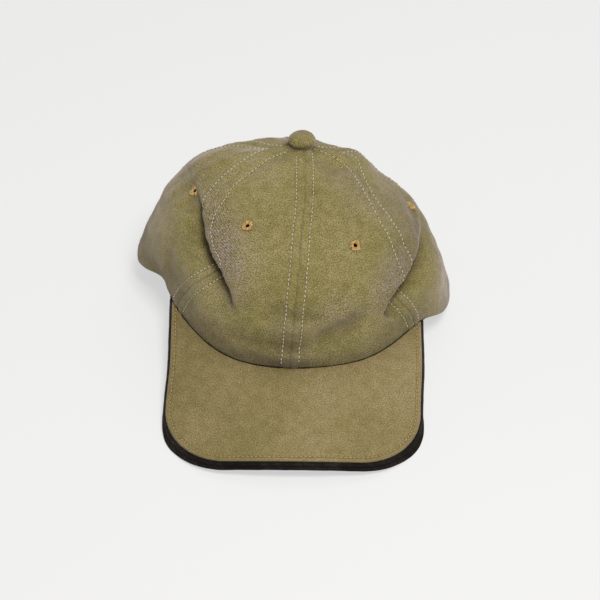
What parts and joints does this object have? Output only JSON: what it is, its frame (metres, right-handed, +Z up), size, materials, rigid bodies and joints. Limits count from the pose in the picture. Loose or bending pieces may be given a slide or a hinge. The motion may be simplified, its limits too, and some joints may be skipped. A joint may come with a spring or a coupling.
{
  "type": "baseball cap",
  "caption": "Soft six-panel olive twill cap with a curved black-edged sandwich visor, covered button, stitched eyelets, back arch and strap with a flip buckle.",
  "frame": {"origin": "bottom centre of the bounding box, on the surface that the cap stands on", "axes": "+Z up, the visor points to -Y, +X is the wearer's left"},
  "size_m": [0.21, 0.2454, 0.1205],
  "materials": {
    "crown_cloth": "washed cotton twill",
    "visor_cloth": "washed cotton twill",
    "black_cloth": "brushed cotton",
    "seam_tape": "woven tape",
    "eyelet_thread": "embroidered thread",
    "sweatband": "cotton twill",
    "strap_cloth": "washed cotton twill",
    "visor_board": "moulded sheet",
    "button_metal": "plain",
    "buckle_metal": "antique brushed"
  },
  "bodies": {
    "crown": {"front_panel_left": "crown_cloth", "front_panel_right": "crown_cloth", "side_panel_left": "crown_cloth", "side_panel_right": "crown_cloth", "back_panel_left": "crown_cloth", "back_panel_right": "crown_cloth", "seam_tape_front": "seam_tape", "seam_tape_front_left": "seam_tape", "seam_tape_back_left": "seam_tape", "seam_tape_back": "seam_tape", "seam_tape_back_right": "seam_tape", "seam_tape_front_right": "seam_tape", "eyelet_front_left": "eyelet_thread", "eyelet_front_right": "eyelet_thread", "eyelet_side_left": "eyelet_thread", "eyelet_side_right": "eyelet_thread", "eyelet_back_left": "eyelet_thread", "eyelet_back_right": "eyelet_thread", "button_core": "button_metal", "button_cover": "crown_cloth", "button_rivet": "button_metal", "visor_board": "visor_board", "visor_top_cover": "visor_cloth", "visor_under_cover": "black_cloth", "visor_sandwich": "black_cloth", "sweatband": "sweatband", "arch_binding": "crown_cloth", "buckle_frame": "buckle_metal", "buckle_pin": "buckle_metal", "buckle_tab": "strap_cloth"},
    "strap": {"adjuster_strap": "strap_cloth"},
    "lever": {"buckle_lever": "buckle_metal"}
  },
  "joints": [
    {"name": "strap_slide", "type": "hinge", "parent": "crown", "child": "strap", "pos_m": [0, -0.02436, 0.04123], "axis": [0, -0.1913, -0.9815], "range_deg": [0, 9.84]},
    {"name": "lever_flip", "type": "hinge", "parent": "crown", "child": "lever", "pos_m": [0.0318, 0.1174, 0.0136], "axis": [0, -0.1913, -0.9815], "range_deg": [0, 95]}
  ]
}
